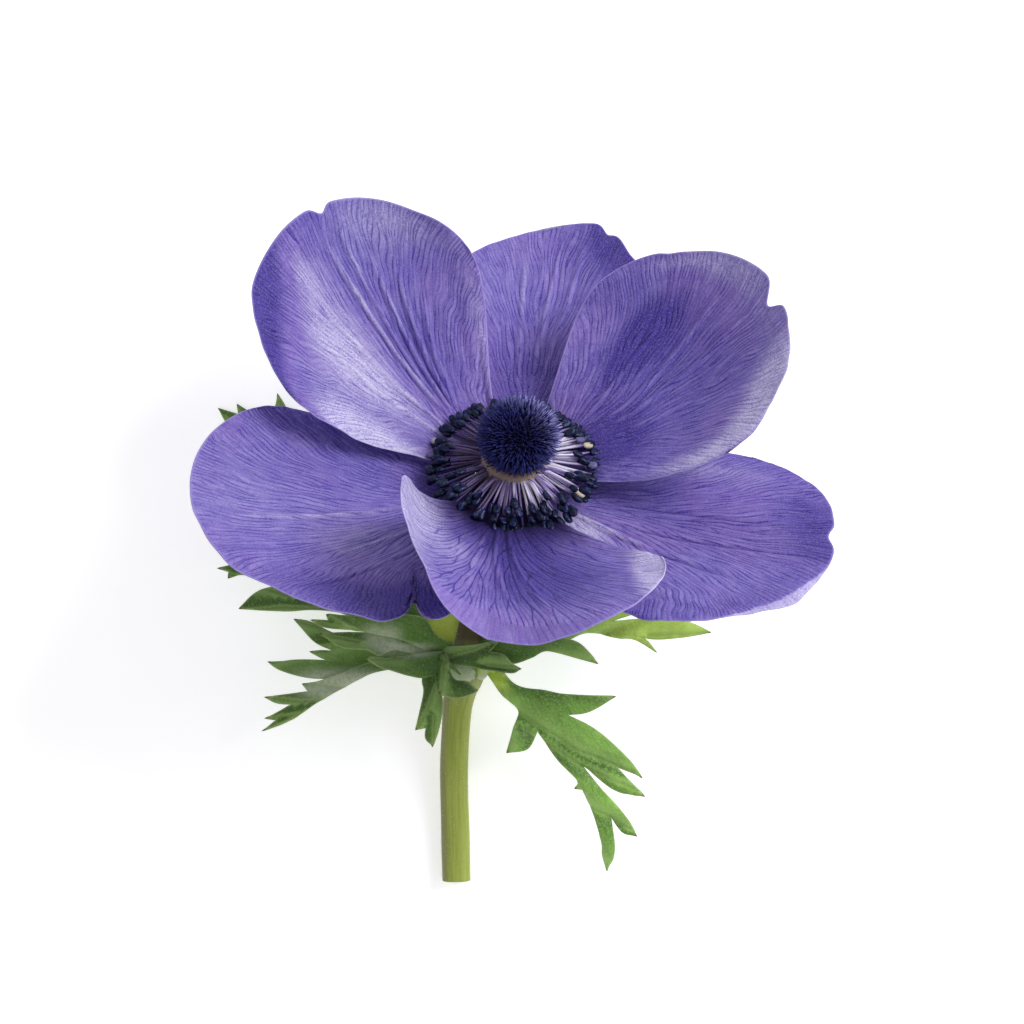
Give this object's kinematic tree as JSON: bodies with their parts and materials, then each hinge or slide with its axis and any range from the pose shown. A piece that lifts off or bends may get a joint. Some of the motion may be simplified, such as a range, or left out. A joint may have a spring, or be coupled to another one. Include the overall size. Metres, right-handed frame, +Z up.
{
  "type": "anemone flower",
  "caption": "Picked anemone flower lying on a surface: violet petals in two layers, a dark domed centre in a ring of stamens, a collar of cut leaves and a short stem.",
  "frame": {"origin": "on the surface the flower lies on, under the middle of its bounding box", "axes": "+Z up from the surface; +Y from the cut end of the stem towards the bloom; +X to the right of that"},
  "size_m": [0.0882, 0.0985, 0.0728],
  "materials": {
    "petal": "satin",
    "stem": "satin",
    "leaf": "satin",
    "stamen": "matte",
    "pistil": "matte"
  },
  "bodies": {
    "root": {"stem": "stem", "petal_back_left": "petal", "petal_back": "petal", "petal_back_right": "petal", "petal_right": "petal", "petal_front": "petal", "petal_left": "petal", "bract_front": "leaf", "bract_right": "leaf", "bract_back": "leaf", "stamens": "stamen", "pistil": "pistil"}
  },
  "joints": []
}
